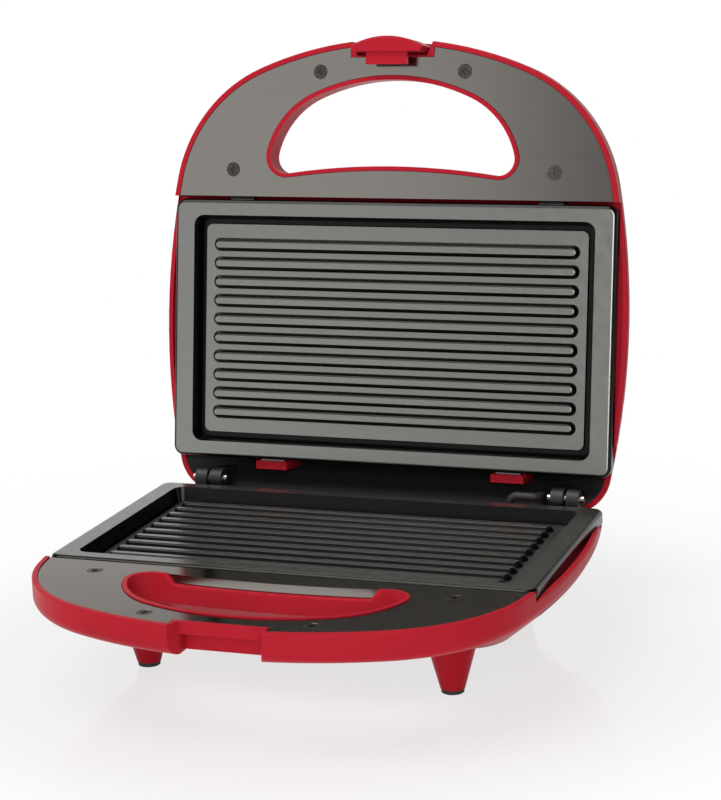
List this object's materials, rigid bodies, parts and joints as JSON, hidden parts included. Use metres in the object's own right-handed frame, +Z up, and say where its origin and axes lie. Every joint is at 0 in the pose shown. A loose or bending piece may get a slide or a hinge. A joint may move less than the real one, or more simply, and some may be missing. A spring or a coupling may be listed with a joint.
{
  "type": "panini press",
  "caption": "Red hinged sandwich grill standing open, with ribbed dark plates, steel handle trims and D-shaped grips.",
  "frame": {"origin": "middle of the footprint of the open grill, on the table", "axes": "+X along the hinge to the user's right, +Y to the back, +Z up"},
  "size_m": [0.2326, 0.2664, 0.2666],
  "materials": {
    "red_plastic": "semi-gloss",
    "latch_plastic": "semi-gloss",
    "steel_trim": "satin",
    "black_steel": "semi-gloss",
    "black_plastic": "matt",
    "nonstick": "semi-gloss",
    "plain_steel": "satin",
    "heater_sheath": "matt",
    "bright_sheet": "satin",
    "ceramic": "matt",
    "white_plastic": "matt",
    "wire_sleeve": "matt",
    "black_rubber": "matt",
    "red_lens": "gloss",
    "green_lens": "gloss",
    "clear_glass": "gloss"
  },
  "bodies": {
    "base": {"base_shell": "red_plastic", "base_trim_plate": "steel_trim", "base_trim_screws": "black_steel", "base_grill_plate": "nonstick", "base_plate_screws": "plain_steel", "base_heater": "heater_sheath", "base_reflector": "bright_sheet", "thermostat": "ceramic", "thermal_fuse": "plain_steel", "terminal_block": "white_plastic", "supply_wires": "wire_sleeve", "cord_gland": "black_rubber", "base_link_lead": "wire_sleeve", "hinge_pin_left": "plain_steel", "hinge_pin_right": "plain_steel", "foot_pad_front_left": "black_rubber", "foot_pad_front_right": "black_rubber", "foot_pad_rear_left": "black_rubber", "foot_pad_rear_right": "black_rubber", "base_hinge_ears": "black_plastic"},
    "lid": {"lid_shell": "red_plastic", "lid_hinge_bracket": "black_plastic", "lid_trim_plate": "steel_trim", "lid_trim_screws": "black_steel", "lid_grill_plate": "nonstick", "lid_plate_screws": "plain_steel", "lid_heater": "heater_sheath", "lid_reflector": "bright_sheet", "lid_link_lead": "wire_sleeve", "power_lamp_lens": "red_lens", "ready_lamp_lens": "green_lens", "lamp_bulbs": "clear_glass", "latch_pin": "plain_steel"},
    "latch": {"latch": "latch_plastic"}
  },
  "joints": [
    {"name": "lid_hinge", "type": "hinge", "parent": "base", "child": "lid", "pos_m": [0, 0.08033, 0.05225], "axis": [1, 0, 0], "range_deg": [0, 98.5]},
    {"name": "latch_hinge", "type": "hinge", "parent": "lid", "child": "latch", "pos_m": [0, 0.11719, 0.25827], "axis": [-1, 0, 0], "range_deg": [0, 25]}
  ]
}
